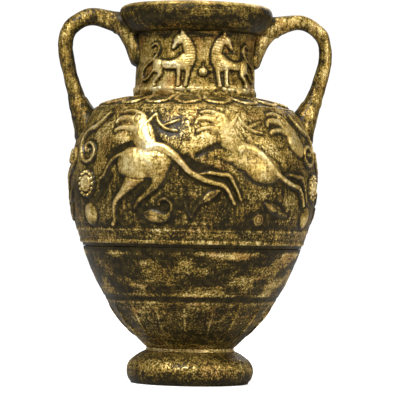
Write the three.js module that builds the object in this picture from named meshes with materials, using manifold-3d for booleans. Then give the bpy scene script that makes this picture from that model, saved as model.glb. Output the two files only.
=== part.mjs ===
// Amphora: a two-handled vase of fired clay with applied reliefs, 350 mm high.
// The pot is thrown in sections that are luted together: foot, lower bowl, upper bowl, neck and mouth,
// with a stepped joint where one wall stands on the next. The handles are pulled rolls of clay, and the
// animals, scrolls and rosettes are sprigs pressed in moulds and laid on the finished wall.
// Millimetres, +Z up, origin at the centre of the foot's underside, front towards -Y.
import * as THREE from "three";
import { mergeVertices } from "three/addons/utils/BufferGeometryUtils.js";
import Module from "manifold-3d";

const wasm = await Module();
wasm.setup();

// ---- Driving dimensions -------------------------------------------------------------------------

const SEGMENTS = 36; // round the pot
const WALL = 6; // thickness of the thrown wall
const GAP = 0.3; // slip layer between two luted pieces

const HEIGHT = 350;
const FOOT_TOP = 30;
const COLLAR_TOP = 33;
const BELLY_JOINT = 126; // lower bowl to upper bowl
const NECK_JOINT = 263.6; // upper bowl to neck
const MOUTH_JOINT = 323.4; // neck to mouth

const TENON_RADIUS = 30; // stub of the lower bowl, through the collar into the foot
const TENON_BOTTOM = 22;
const FLOOR = 43; // inside floor of the bowl
const BORE_RADIUS = 47.5; // inside of the neck
const STEP = 5.5; // height of a stepped joint
const STEP_WALL = 3; // thickness of its inner lip

const BELLY_RING = 131.4; // heights of the laid rings
const SHOULDER_RING = 253.2;
const NECK_RING = 271.6; // also the ground the lions stand on

const TONGUES = 18;
const TONGUE_TOP = 262.6; // the skirt's upper edge, close to the neck
const TONGUE_CREST = 259.6;
const TONGUE_EDGE = 257; // its lower edge between two tongues
const TONGUE_DROP = 2; // how much lower a tongue's tip lies
const TONGUE_THICKNESS = 1.6;

const LEADING_ANGLE = -25.5; // where each running beast starts, in degrees from the front
const FOLLOWING_ANGLE = 17;
const THIRD_ANGLE = 55.5;
const LEFT_ROSETTE_ANGLE = 63;
const RIGHT_ROSETTE_ANGLE = 67.5;
const ROSETTE_HEIGHT = 182.5;
const TABLET_ANGLE = 61.5;
const LION_SHIFT = 4; // how far the right lion's mirror line is turned

const FRIEZE_RADIUS = 112; // mean radius under the frieze, for laying figures out
const NECK_RADIUS = 54;
const FRIEZE_LIFT = 2.8; // height of a figure off the wall
const NECK_LIFT = 2.2;
const SINK = 1.2; // how far a figure's underside starts inside the wall before it is trimmed

// ---- Materials: black-brown glaze under rubbed gold -------------------------------------------

const gilded = (colour) =>
  new THREE.MeshStandardMaterial({ color: colour, roughness: 0.45, metalness: 0.6 });

const FOOT_GOLD = 0x6e5a2a;
const LOWER_GOLD = 0x4e4224;
const UPPER_GOLD = 0x7a642e;
const NECK_GOLD = 0x86682a;
const HANDLE_GOLD = 0x8a6f34;
const RELIEF_GOLD = 0xb8923f;
const RING_GOLD = 0x9a7c38;

// ---- Solids -------------------------------------------------------------------------------------

// A closed geometry as a solid that can be joined and cut.
function solidOf(geometry) {
  geometry.deleteAttribute("normal");
  geometry.deleteAttribute("uv");
  const merged = mergeVertices(geometry, 1e-3);
  return new wasm.Manifold(
    new wasm.Mesh({
      numProp: 3,
      vertProperties: merged.attributes.position.array,
      triVerts: new Uint32Array(merged.index.array),
    }),
  );
}

function geometryOf(solid) {
  const { vertProperties, triVerts } = solid.getMesh();
  const geometry = new THREE.BufferGeometry();
  geometry.setAttribute("position", new THREE.BufferAttribute(vertProperties, 3));
  geometry.setIndex(new THREE.BufferAttribute(triVerts, 1));
  return geometry;
}

// A smooth outline through [radius, height] points.
const outline = (steps, ...points) =>
  new THREE.SplineCurve(points.map(([r, z]) => new THREE.Vector2(r, z))).getPoints(steps);

const corners = (...points) => points.map(([r, z]) => new THREE.Vector2(r, z));

// The outline moved outwards by a distance, or inwards by a negative one.
function moved(points, distance) {
  return points.map((point, i) => {
    const before = points[Math.max(i - 1, 0)];
    const after = points[Math.min(i + 1, points.length - 1)];
    const along = after.clone().sub(before).normalize();
    return new THREE.Vector2(point.x + along.y * distance, point.y - along.x * distance);
  });
}

// The inner face of a thrown wall, from the top down, with half as many points as the outer face.
const insideOf = (side) => moved(side, -WALL).filter((point, i) => i % 2 === 0).reverse();

// A turned piece. A profile off the axis closes on itself.
function turned(profile) {
  const closed = profile[0].x === 0 ? profile : [...profile, profile[0]];
  return new THREE.LatheGeometry(closed, SEGMENTS).rotateX(Math.PI / 2);
}

// ---- The outside of the pot ---------------------------------------------------------------------

const footSide = outline(7, [54.6, 0], [58.2, 6.5], [58.9, 11.5], [55, 20.2], [47.5, 27], [42.3, FOOT_TOP]);
const lowerSide = outline(
  8,
  [41.9, COLLAR_TOP],
  [65.5, 57],
  [81, 80.6],
  [96.4, 112.6],
  [101.7, BELLY_JOINT],
);
const upperSide = outline(
  8,
  [101.7, BELLY_JOINT],
  [110.5, 151],
  [114.3, 188],
  [109.6, 223],
  [95.4, 250.8],
);
const shoulder = outline(4, [95.4, 250.8], [86.2, 256.6], [72, 261.2], [56.5, NECK_JOINT]);
const neckSide = outline(4, [56.5, NECK_JOINT], [55.5, 285], [54.9, 306], [56.7, MOUTH_JOINT]);
const mouthSide = outline(4, [59.8, MOUTH_JOINT], [67.4, 330.3], [71.5, 341.5]);
const mouthBead = corners([70.4, 344.5], [70.8, 347.5], [68.2, HEIGHT]);

const wall = [...lowerSide, ...upperSide.slice(1), ...shoulder.slice(1), ...neckSide.slice(1)];

// Radius of the wall and its outward direction at a height.
function wallAt(z) {
  const i = wall.findIndex((point, k) => k > 0 && point.y >= z);
  const top = wall[i];
  const bottom = wall[i - 1];
  const along = top.clone().sub(bottom);
  const radius = bottom.x + (along.x * (z - bottom.y)) / along.y;
  along.normalize();
  return { radius, out: along.y, up: -along.x };
}

// The whole pot as one solid, a slip layer larger, which trims what is laid on it.
const envelope = solidOf(
  turned([
    new THREE.Vector2(0, COLLAR_TOP),
    ...moved([...wall, ...mouthSide, ...mouthBead], GAP),
    new THREE.Vector2(0, HEIGHT + GAP),
  ]),
);

// ---- Thrown sections ----------------------------------------------------------------------------

function foot() {
  const recess = corners([0, 12], [40, 12], [43.5, 8], [46, 0]);
  const socket = corners(
    [TENON_RADIUS + GAP, FOOT_TOP],
    [TENON_RADIUS + GAP, TENON_BOTTOM - GAP],
    [0, TENON_BOTTOM - GAP],
  );
  return turned([...recess, ...footSide, ...socket]);
}

function footCollar() {
  const inner = TENON_RADIUS + GAP;
  const middle = (FOOT_TOP + COLLAR_TOP) / 2;
  return turned(
    corners([inner, FOOT_TOP], [42, FOOT_TOP], [42.9, middle], [42, COLLAR_TOP], [inner, COLLAR_TOP]),
  );
}

function lowerBowl() {
  const inside = insideOf(lowerSide).filter((point) => point.y > FLOOR + 4);
  const lip = inside[0].x;
  const tenon = corners([0, TENON_BOTTOM], [TENON_RADIUS, TENON_BOTTOM], [TENON_RADIUS, COLLAR_TOP]);
  const step = corners(
    [lip + STEP_WALL, BELLY_JOINT],
    [lip + STEP_WALL, BELLY_JOINT + STEP],
    [lip, BELLY_JOINT + STEP],
  );
  const floor = corners([28, FLOOR + 1], [0, FLOOR]);
  return turned([...tenon, ...lowerSide, ...step, ...inside, ...floor]);
}

function upperBowl() {
  const sides = [...upperSide, ...shoulder.slice(1)];
  const inside = insideOf(sides).filter((point) => point.y > BELLY_JOINT + STEP + 1);
  const rebate = moved(lowerSide, -WALL).at(-1).x + STEP_WALL + GAP;
  const stepTop = BELLY_JOINT + STEP + GAP;
  const seat = BORE_RADIUS + STEP_WALL + GAP;
  const neckSeat = corners(
    [seat, NECK_JOINT],
    [seat, NECK_JOINT - STEP],
    [BORE_RADIUS, NECK_JOINT - STEP],
    [BORE_RADIUS, NECK_JOINT - STEP - 1],
  );
  const socket = corners([rebate, stepTop], [rebate, BELLY_JOINT]);
  return turned([...sides, ...neckSeat, ...inside, ...socket]);
}

function neck() {
  const lip = BORE_RADIUS + STEP_WALL;
  const low = NECK_JOINT - STEP + GAP;
  const top = MOUTH_JOINT + STEP;
  const spigot = corners([BORE_RADIUS, low], [lip, low], [lip, NECK_JOINT]);
  const crown = corners([lip + 1, MOUTH_JOINT], [lip + 1, top], [BORE_RADIUS + 1, top]);
  return turned([...spigot, ...neckSide, ...crown]);
}

function mouth() {
  const seat = BORE_RADIUS + STEP_WALL + 1 + GAP;
  const ledge = MOUTH_JOINT + STEP + GAP;
  const flare = outline(3, [63.8, HEIGHT], [57.5, 338], [BORE_RADIUS + 2, ledge]);
  const underside = corners([seat, MOUTH_JOINT]);
  const shelf = corners([seat, ledge]);
  return turned([...underside, ...mouthSide, ...mouthBead, ...flare, ...shelf]);
}

// A thin roll of clay laid round the wall at a height, rising off it by its thickness.
function cordon(z, width, thickness) {
  const { radius, out, up } = wallAt(z);
  const at = (along, off) => [radius + up * -along + out * off, z + out * along + up * off];
  return turned(
    corners(
      at(-width / 2, GAP),
      at(-width / 4, thickness),
      at(width / 4, thickness),
      at(width / 2, GAP),
    ),
  );
}

// ---- Rolls of clay ------------------------------------------------------------------------------

// A closed skin through rings of points. Two poles close the ends of a tube; without them the last
// ring joins the first.
function skin(rings, poles = []) {
  const sides = rings[0].length;
  const vertices = [...rings.flat(), ...poles];
  const count = rings.length;
  const faces = [];
  for (let k = 0; k < sides; k++) {
    const next = (k + 1) % sides;
    for (let i = 0; i < (poles.length ? count - 1 : count); i++) {
      const low = i * sides;
      const high = ((i + 1) % count) * sides;
      faces.push(low + k, low + next, high + next, low + k, high + next, high + k);
    }
    if (poles.length) {
      const last = (count - 1) * sides;
      faces.push(count * sides, next, k, count * sides + 1, last + k, last + next);
    }
  }
  const geometry = new THREE.BufferGeometry().setFromPoints(vertices);
  geometry.setIndex(faces);
  return geometry;
}

// A handle through [x, z, half width across, half thickness] stations in the XZ plane.
function handle(stations) {
  const sides = 10;
  const steps = 20;
  const centre = new THREE.CatmullRomCurve3(stations.map(([x, z]) => new THREE.Vector3(x, 0, z)));
  const size = new THREE.CatmullRomCurve3(stations.map(([, , w, t]) => new THREE.Vector3(w, t, 0)));
  const rings = [];
  for (let i = 0; i <= steps; i++) {
    const middle = centre.getPoint(i / steps);
    const along = centre.getTangent(i / steps);
    const { x: halfWidth, y: halfThickness } = size.getPoint(i / steps);
    const ring = [];
    for (let k = 0; k < sides; k++) {
      const turn = (2 * Math.PI * k) / sides;
      const off = halfThickness * Math.cos(turn);
      const across = -halfWidth * Math.sin(turn);
      ring.push(new THREE.Vector3(middle.x - along.z * off, across, middle.z + along.x * off));
    }
    rings.push(ring);
  }
  const roll = solidOf(skin(rings, [centre.getPoint(0), centre.getPoint(1)]));
  return geometryOf(roll.subtract(envelope));
}

// ---- Sprigs -------------------------------------------------------------------------------------

// A figure laid out flat and then bent round the wall: x runs round the pot, y up it and z off it.
// Angles are in degrees from the front, positive to the right.
class Sprig {
  constructor(radius, lift, { origin = 0, mirror = 1 } = {}) {
    Object.assign(this, { radius, lift, origin, mirror, pieces: [] });
  }

  x(angle) {
    return THREE.MathUtils.degToRad(this.origin + this.mirror * angle) * this.radius;
  }

  // A tapering roll through [angle, height, width] points.
  roll(...points) {
    const sides = 4;
    const steps = points.length - 1;
    const flat = points.map(([angle, z, width]) => new THREE.Vector3(this.x(angle), z, width));
    const path = new THREE.CatmullRomCurve3(flat);
    const rings = [];
    const ends = [];
    for (let i = 0; i <= steps; i++) {
      const { x, y, z: width } = path.getPoint(i / steps);
      const along = path.getTangent(i / steps).setZ(0).normalize();
      const ring = [];
      for (let k = 0; k < sides; k++) {
        const turn = (2 * Math.PI * k) / sides;
        const side = (width / 2) * Math.cos(turn);
        const off = Math.sin(turn) * (turn > Math.PI ? SINK : this.lift);
        ring.push(new THREE.Vector3(x - along.y * side, y + along.x * side, off));
      }
      rings.push(ring);
      const reach = width * (i === 0 ? -0.4 : 0.4);
      if (i % steps === 0) ends.push(new THREE.Vector3(x + along.x * reach, y + along.y * reach, 0));
    }
    this.pieces.push(skin(rings, ends));
    return this;
  }

  // A rounded pad with half sizes round and up the wall, turned by a tilt in degrees.
  pad(angle, z, halfAcross, halfUp, { tilt = 0, lift = this.lift } = {}) {
    const ball = new THREE.SphereGeometry(1, 8, 6);
    ball.rotateX(Math.PI / 2).scale(halfAcross, halfUp, lift);
    ball.rotateZ(THREE.MathUtils.degToRad(tilt * this.mirror)).translate(this.x(angle), z, 0);
    this.pieces.push(ball);
    return this;
  }

  // A flat disc whose rim swells into lobes.
  disc(angle, z, { radius, lobes, thickness }) {
    const rim = [];
    for (let k = 0; k < 3 * lobes; k++) {
      const turn = (2 * Math.PI * k) / (3 * lobes);
      const reach = radius + (k % 3 === 0 ? -1.4 : 0);
      rim.push(new THREE.Vector2(reach * Math.cos(turn), reach * Math.sin(turn)));
    }
    const plate = new THREE.ExtrudeGeometry(new THREE.Shape(rim), {
      depth: thickness + SINK,
      bevelEnabled: false,
    });
    this.pieces.push(plate.translate(this.x(angle), z, -SINK));
    return this;
  }

  // The flat pieces bent round the pot, joined and trimmed to the wall.
  geometry() {
    const bent = this.pieces.map((piece) => {
      const place = piece.getAttribute("position");
      for (let i = 0; i < place.count; i++) {
        const { radius, out, up } = wallAt(place.getY(i));
        const turn = place.getX(i) / this.radius;
        const r = radius + out * place.getZ(i);
        place.setXYZ(i, r * Math.sin(turn), -r * Math.cos(turn), place.getY(i) + up * place.getZ(i));
      }
      return solidOf(piece);
    });
    return geometryOf(bent.reduce((a, b) => a.add(b)).subtract(envelope));
  }
}

const friezeSprig = (origin = 0, mirror = 1) => new Sprig(FRIEZE_RADIUS, FRIEZE_LIFT, { origin, mirror });
const neckSprig = (origin = 0, mirror = 1) => new Sprig(NECK_RADIUS, NECK_LIFT, { origin, mirror });

// The turned-back head and neck of a running beast: two open jaws, a brow and the neck.
function beastHead(sprig) {
  return sprig
    .roll([-22, 238, 3.5], [-17.5, 240.5, 5.5], [-9, 239, 9])
    .roll([-20.5, 230.5, 3], [-16, 232.5, 4.5], [-8, 234, 8])
    .roll([-19, 247, 3], [-13, 246.5, 3.5], [-8, 241, 5])
    .roll([-8, 238, 10], [-4, 227, 11], [1, 217, 9]);
}

// A beast galloping to the right, with the near foreleg stretched across its shoulder.
function beast(origin, body, hasHindquarters) {
  const sprig = beastHead(friezeSprig(origin));
  body.forEach((pad) => sprig.pad(...pad));
  sprig
    .roll([0, 215.5, 7], [5, 214.5, 7], [10.5, 209, 7], [18, 193.5, 5.6], [28.5, 183.5, 5],
      [34, 181, 4.5], [38.5, 167, 3.5])
    .roll([21.5, 190.5, 3], [28, 192.5, 4], [36, 190.5, 4], [38.6, 182.5, 3.6], [41, 171, 3.2])
    .roll([-6, 238, 3], [0, 242.5, 2.6], [3, 235.5, 2.4], [7, 231, 2.2], [11.5, 229, 2]);
  if (!hasHindquarters) return sprig.geometry();
  return sprig
    .roll([-5, 213, 4], [-14, 208.5, 3.6], [-19, 204, 3.2], [-22, 197.5, 3], [-24, 189, 3])
    .roll([-5.5, 190, 12], [-10, 178.5, 7], [-15.5, 170, 6], [-18, 163, 5], [-18, 149, 3.5])
    .roll([4, 188, 8], [0, 175, 6], [-4.5, 170, 5], [-8, 158, 4])
    .geometry();
}

const leadingBeast = () => beast(LEADING_ANGLE, [[-1, 200, 22, 14]], true);
const followingBeast = () => beast(FOLLOWING_ANGLE, [[-1, 205, 15, 9], [11, 197, 20, 13]], false);
const thirdHead = () => beastHead(friezeSprig(THIRD_ANGLE)).geometry();

function waterfowl() {
  return friezeSprig()
    .pad(-21, 154, 12, 4.5)
    .roll([-17, 156, 4], [-14.5, 161, 2.8], [-15.8, 166.5, 2.6], [-18.5, 169, 2.4], [-20, 165, 2.4])
    .geometry();
}

const leaf = () => friezeSprig().roll([-2, 168, 3], [2, 173, 7], [5, 175.5, 4]).geometry();
const wing = () => friezeSprig().roll([31, 166, 5], [36, 162, 9], [43, 156, 5]).geometry();
const boss = () => friezeSprig().pad(26.5, 151, 5.6, 5.6).geometry();

// A scroll that hangs from the shoulder and curls inwards. It is drawn for the right of the front.
function scroll(side) {
  return friezeSprig(0, side)
    .roll([55.5, 244.5, 3.4], [61, 236.5, 4], [70, 230, 4], [71.5, 223, 4], [70.5, 214.5, 4], [65, 202, 4],
      [59.5, 204, 3.6], [58.3, 212, 3.4], [61.3, 218.5, 3.2], [65.4, 219.5, 3], [66.5, 214.5, 3])
    .geometry();
}

// A rosette: a disc with a lobed rim and a round heart.
function rosette(side, angle) {
  return friezeSprig(0, side)
    .disc(angle, ROSETTE_HEIGHT, { radius: 12.4, lobes: 10, thickness: 1.8 })
    .pad(angle, ROSETTE_HEIGHT, 6, 6)
    .geometry();
}

const tablet = (side) => friezeSprig(0, side).pad(TABLET_ANGLE, 155, 9, 9, { lift: 1.8 }).geometry();

// Two small spirals back to back under a handle, over a stem of three leaves.
function palmette(side) {
  const sprig = friezeSprig(90 * side);
  for (const half of [-1, 1])
    sprig.roll(
      [0, 186, 4],
      [half * 5, 193, 3.4],
      [half * 12, 204, 3.4],
      [half * 8, 213, 3.2],
      [half * 4.5, 206, 3],
      [half * 7.5, 201, 3],
    );
  for (const [angle, z] of [[-9, 178], [9, 178], [-6, 163], [6, 163]])
    sprig.roll([0, z - 8, 3], [angle * 0.6, z - 4, 6], [angle, z + 3, 3.4]);
  return sprig.roll([0, 190, 5], [0, 170, 5], [0, 152, 4]).geometry();
}

// A standing lion on the neck that looks back over its shoulder. The other lion is its mirror image.
function lion(origin, mirror) {
  return neckSprig(origin, mirror)
    .pad(-42.5, 291, 6, 6.5)
    .roll([-43, 292, 9], [-34, 291.5, 9], [-24, 292, 10], [-14, 292, 10])
    .roll([-12.5, 291, 7], [-10.5, 299, 8], [-11.5, 308, 8], [-16, 317, 8])
    .pad(-20, 315.5, 7.5, 4.6, { tilt: 35 })
    .roll([-21.5, 290, 5], [-21, 282, 4], [-21.2, 275, 4.4])
    .roll([-12, 290, 5], [-13, 281, 4], [-13.6, 275, 4.4])
    .roll([-42.4, 289, 8], [-40, 284, 5], [-46, 278, 3.8], [-45.5, 275, 4])
    .roll([-45, 289, 3], [-52, 283, 2.6], [-61, 279, 2.6], [-65, 282.5, 2.6], [-62, 289, 2.6],
      [-47.5, 298.5, 2.6], [-42.5, 306, 2.6], [-46, 311.5, 2.6], [-51, 309, 2.6])
    .geometry();
}

const neckBoss = () => neckSprig().pad(LION_SHIFT / 2, 285.5, 4.5, 4.5).geometry();

// The scalloped skirt of tongues that hangs round the shoulder below the neck.
function tongueSkirt() {
  const stepsEach = 2;
  const rings = [];
  for (let i = 0; i < TONGUES * stepsEach; i++) {
    const turn = (2 * Math.PI * i) / (TONGUES * stepsEach);
    const swell = Math.abs(Math.cos((turn * TONGUES) / 2));
    const edge = TONGUE_EDGE - TONGUE_DROP * Math.sqrt(swell);
    const at = (z, off) => {
      const { radius, out, up } = wallAt(z);
      const r = radius + out * off;
      return new THREE.Vector3(r * Math.sin(turn), -r * Math.cos(turn), z + up * off);
    };
    const crown = TONGUE_THICKNESS * (0.6 + 0.4 * swell);
    rings.push([
      at(TONGUE_TOP, crown),
      at(TONGUE_CREST, crown + 0.4),
      at(edge + 0.5, crown),
      at(edge, -SINK),
      at(TONGUE_TOP + 0.3, -SINK),
    ]);
  }
  return geometryOf(solidOf(skin(rings)).subtract(envelope));
}

// ---- The assembly -------------------------------------------------------------------------------

const amphora = new THREE.Group();

function place(name, geometry, colour, parent = amphora) {
  const mesh = new THREE.Mesh(geometry, gilded(colour));
  mesh.name = name;
  parent.add(mesh);
}

place("foot_base", foot(), FOOT_GOLD);
place("foot_collar", footCollar(), RING_GOLD);
place("lower_bowl", lowerBowl(), LOWER_GOLD);
place("belly_ring", cordon(BELLY_RING, 4, 2), RING_GOLD);
place("upper_bowl", upperBowl(), UPPER_GOLD);
place("shoulder_ring", cordon(SHOULDER_RING, 3, 1.6), RING_GOLD);
place("tongue_skirt", tongueSkirt(), RING_GOLD);
place("neck", neck(), NECK_GOLD);
place("neck_ring", cordon(NECK_RING, 3, 1.8), RING_GOLD);
place("mouth_rim", mouth(), NECK_GOLD);

// Stations from the root on the shoulder to the root on the neck.
place(
  "handle_left",
  handle([
    [-96, 226, 17, 9], [-103, 241, 13, 8], [-110, 262, 8.5, 7], [-117.5, 288, 7, 6.4],
    [-121, 310, 7, 6.6], [-116.5, 328, 7.2, 6.8], [-104, 339.5, 7.4, 7], [-90, 341.5, 7.8, 7.2],
    [-75, 336, 8.4, 7], [-63, 322, 10, 7.4], [-52, 300, 13, 8],
  ]),
  HANDLE_GOLD,
);
place(
  "handle_right",
  handle([
    [96, 226, 17, 9], [104, 241, 13, 8], [111.5, 262, 8.5, 7], [119, 288, 7, 6.4],
    [122, 309, 7, 6.2], [118, 327, 7.2, 6.2], [106, 338, 7.4, 6.4], [92, 339.5, 7.8, 6.8],
    [78, 333, 8.4, 7], [65, 317, 10, 7.4], [52, 297, 13, 8],
  ]),
  HANDLE_GOLD,
);
place("palmette_left", palmette(-1), RELIEF_GOLD);
place("palmette_right", palmette(1), RELIEF_GOLD);

// The front scene and the same scene half a turn round at the back.
for (const face of ["front", "back"]) {
  const half = new THREE.Group();
  half.rotation.z = face === "front" ? 0 : Math.PI;
  amphora.add(half);
  const add = (name, geometry) => place(`${face}_${name}`, geometry, RELIEF_GOLD, half);
  add("leading_beast", leadingBeast());
  add("following_beast", followingBeast());
  add("third_head", thirdHead());
  add("waterfowl", waterfowl());
  add("leaf", leaf());
  add("wing", wing());
  add("boss", boss());
  add("left_scroll", scroll(-1));
  add("right_scroll", scroll(1));
  add("left_rosette", rosette(-1, LEFT_ROSETTE_ANGLE));
  add("right_rosette", rosette(1, RIGHT_ROSETTE_ANGLE));
  add("left_tablet", tablet(-1));
  add("right_tablet", tablet(1));
  add("left_lion", lion(0, 1));
  add("right_lion", lion(LION_SHIFT, -1));
  add("neck_boss", neckBoss());
}

export default amphora;
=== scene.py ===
# %% [markdown]
# # An amphora with rubbed gold reliefs
# The vase is fired clay. A potter throws it in sections, lutes them together with slip, pulls two
# handles, and presses the animals, scrolls and rosettes in moulds before laying them on the wall. The
# finish is a black-brown glaze with gold paint sponged and rubbed over it, so gold sits on everything
# that stands out and the glaze stays in the hollows.
#
# The CAD model gives the frame: how tall the pot is, where its sections part and where each figure lies.
# Every one of its plain solids is replaced here by a finely worked piece.

# %% Load the CAD model
import math

import bpy
import numpy as np
from mathutils import Matrix, Vector


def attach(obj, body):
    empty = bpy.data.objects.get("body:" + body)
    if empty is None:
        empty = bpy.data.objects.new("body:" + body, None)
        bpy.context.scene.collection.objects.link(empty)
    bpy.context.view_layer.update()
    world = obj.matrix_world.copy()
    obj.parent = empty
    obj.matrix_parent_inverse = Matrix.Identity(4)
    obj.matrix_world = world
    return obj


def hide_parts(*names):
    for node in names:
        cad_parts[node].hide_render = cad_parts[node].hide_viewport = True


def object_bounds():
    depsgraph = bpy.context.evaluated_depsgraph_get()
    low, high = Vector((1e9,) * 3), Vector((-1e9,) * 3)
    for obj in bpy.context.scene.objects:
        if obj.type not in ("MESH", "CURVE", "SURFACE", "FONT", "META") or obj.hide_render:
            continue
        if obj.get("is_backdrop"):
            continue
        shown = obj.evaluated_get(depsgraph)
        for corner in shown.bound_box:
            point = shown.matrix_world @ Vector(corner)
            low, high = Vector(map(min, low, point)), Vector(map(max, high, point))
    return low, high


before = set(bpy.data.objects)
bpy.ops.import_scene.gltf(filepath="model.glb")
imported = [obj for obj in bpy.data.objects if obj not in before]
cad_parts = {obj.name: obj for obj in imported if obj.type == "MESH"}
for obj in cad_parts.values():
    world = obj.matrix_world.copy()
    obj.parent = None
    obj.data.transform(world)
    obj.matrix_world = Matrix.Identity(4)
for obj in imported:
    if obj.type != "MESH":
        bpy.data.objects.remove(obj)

cad_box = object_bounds()
MM = 0.001
print("the pot is", round(cad_box[1].z / MM), "mm high, with", len(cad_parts), "CAD nodes")

# %% [markdown]
# ## Two helpers
# The materials, the floor and the surround are all node trees. Tree adds a node, or a link, in one call.
# Everything else starts as one of the objects in Blender's Add menu.


# %% Helpers for nodes and new objects
class Tree:
    """Adds nodes to a node tree, and joins them."""

    def __init__(self, tree):
        self.tree = tree

    def node(self, kind, **settings):
        made = self.tree.nodes.new(kind if kind.startswith("NodeGroup") else "ShaderNode" + kind)
        for name, value in settings.items():
            setattr(made, name, value)
        return made

    def join(self, source, target):
        self.tree.links.new(source, target)

    def feed(self, socket, value):
        if isinstance(value, bpy.types.NodeSocket):
            self.join(value, socket)
        else:
            socket.default_value = value

    def math(self, operation, a, b):
        made = self.node("Math", operation=operation)
        self.feed(made.inputs[0], a)
        self.feed(made.inputs[1], b)
        return made.outputs[0]

    def noise(self, place, scale, detail=3, roughness=0.55):
        made = self.node("TexNoise")
        self.join(place, made.inputs["Vector"])
        made.inputs["Scale"].default_value = scale
        made.inputs["Detail"].default_value = detail
        made.inputs["Roughness"].default_value = roughness
        return made.outputs[0]

    def stretched(self, place, scale):
        made = self.node("Mapping")
        self.join(place, made.inputs["Vector"])
        made.inputs["Scale"].default_value = scale
        return made.outputs[0]

    def step(self, value, low, high, to_low=0.0, to_high=1.0):
        made = self.node("MapRange", interpolation_type="SMOOTHSTEP")
        for socket, given in zip(made.inputs, (value, low, high, to_low, to_high)):
            self.feed(socket, given)
        return made.outputs[0]

    def mix(self, share, a, b):
        made = self.node("Mix", data_type="RGBA")
        self.feed(made.inputs["Factor"], share)
        self.feed(made.inputs[6], a)
        self.feed(made.inputs[7], b)
        return made.outputs[2]


def added(name, add, **settings):
    """Adds an object with one of Blender's own operators, names it and returns it."""
    bpy.ops.object.select_all(action="DESELECT")
    add(**settings)
    bpy.context.object.name = name
    return bpy.context.object


print("helpers ready")

# %% [markdown]
# ## Camera, light and floor
# The vase stands alone on white. A long lens a little over two metres away keeps its outline almost
# free of perspective, with the eye below the shoulder, so the underside of the mouth shows. A large soft
# light from the upper left makes the broad highlights on the shoulder and foot, and paler ones fill in.

# %% Camera
EYE_DISTANCE = 2.244
EYE_HEIGHT = 0.1427
EYE_AZIMUTH = math.radians(-5.5)  # the pot is turned a little to the right of the eye
VIEW_WIDTH = 0.3722  # what the frame takes in at the pot's axis
SIDE_STEP = 0.0068  # the frame's centre lies this far right of the axis
AIM_HEIGHT = 0.170
LEAN = math.radians(1.05)

toward = Vector((math.sin(EYE_AZIMUTH), -math.cos(EYE_AZIMUTH), 0))
rightward = Vector((math.cos(EYE_AZIMUTH), math.sin(EYE_AZIMUTH), 0))
eye = toward * EYE_DISTANCE + Vector((0, 0, EYE_HEIGHT))
aim = rightward * SIDE_STEP + Vector((0, 0, AIM_HEIGHT))
camera = added("Camera", bpy.ops.object.camera_add, location=eye)
camera.rotation_euler = (
    (aim - eye).to_track_quat("-Z", "Y").to_matrix() @ Matrix.Rotation(LEAN, 3, "Z")
).to_euler()
camera.data.sensor_width = 36
camera.data.lens = 36 * EYE_DISTANCE / VIEW_WIDTH
bpy.context.scene.camera = camera
print("camera lens", round(camera.data.lens), "mm")


# %% Lights and floor
LIT_HEIGHT = 0.18  # the lights point at the middle of the pot
TENT_LIGHT = 0.26  # the tent lights the pot less than it shows, so the glaze stays dark
TENT_SHOWN = 1.05
FLOOR_SHOWN = 0.72
FLOOR_FADE = (0.15, 0.5, FLOOR_SHOWN, 1.1)  # white again away from the pot, so no horizon shows


def soft_light(name, place, size, power, colour=(1, 1, 1)):
    light = added(name, bpy.ops.object.light_add, type="AREA", location=place)
    light.data.size = size
    light.data.energy = power
    light.data.color = colour
    light.rotation_euler = (Vector((0, 0, LIT_HEIGHT)) - Vector(place)).to_track_quat("-Z", "Y").to_euler()


soft_light("key_light", (-0.66, -1.08, 1.60), 0.5, 48)
soft_light("fill_light", (1.5, -1.2, 0.9), 0.9, 22, (1, 0.93, 0.8))
soft_light("top_light", (0.1, -0.1, 1.9), 1.0, 16, (1, 0.95, 0.86))
soft_light("back_light", (0.6, 1.9, 1.2), 1.2, 14)

world = bpy.data.worlds.new("white_tent")
bpy.context.scene.world = world
world.use_nodes = True
tent = world.node_tree.nodes["Background"]
tent.inputs["Color"].default_value = (1, 1, 1, 1)


def white_to_the_eye(t, socket, elsewhere, seen):
    """Feeds a strength that is brighter where the tent or floor is seen directly."""
    strength = t.node("MapRange")
    t.join(t.node("LightPath").outputs["Is Camera Ray"], strength.inputs["Value"])
    t.feed(strength.inputs["To Min"], elsewhere)
    t.feed(strength.inputs["To Max"], seen)
    t.join(strength.outputs["Result"], socket)


white_to_the_eye(Tree(world.node_tree), tent.inputs["Strength"], TENT_LIGHT, TENT_SHOWN)
bpy.context.scene.view_settings.view_transform = "Standard"

floor = added("floor", bpy.ops.mesh.primitive_plane_add, size=12, location=(0, 0, -0.0004))
floor_finish = bpy.data.materials.new("white_floor")
floor_finish.use_nodes = True
floor_shader = floor_finish.node_tree.nodes["Principled BSDF"]
floor_shader.inputs["Base Color"].default_value = (0.6, 0.6, 0.6, 1)
floor_shader.inputs["Roughness"].default_value = 0.9
floor_shader.inputs["Emission Color"].default_value = (1, 1, 1, 1)
t = Tree(floor_finish.node_tree)
distance = t.node("VectorMath", operation="LENGTH")
t.join(t.node("TexCoord").outputs["Object"], distance.inputs[0])
fade = t.node("MapRange")
t.join(distance.outputs["Value"], fade.inputs["Value"])
for socket, value in zip(list(fade.inputs)[1:], FLOOR_FADE):
    socket.default_value = value
white_to_the_eye(t, floor_shader.inputs["Emission Strength"], 0.0, fade.outputs["Result"])
floor.data.materials.append(floor_finish)
floor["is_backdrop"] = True
print("four soft lights, a white surround and a pale floor")
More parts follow.
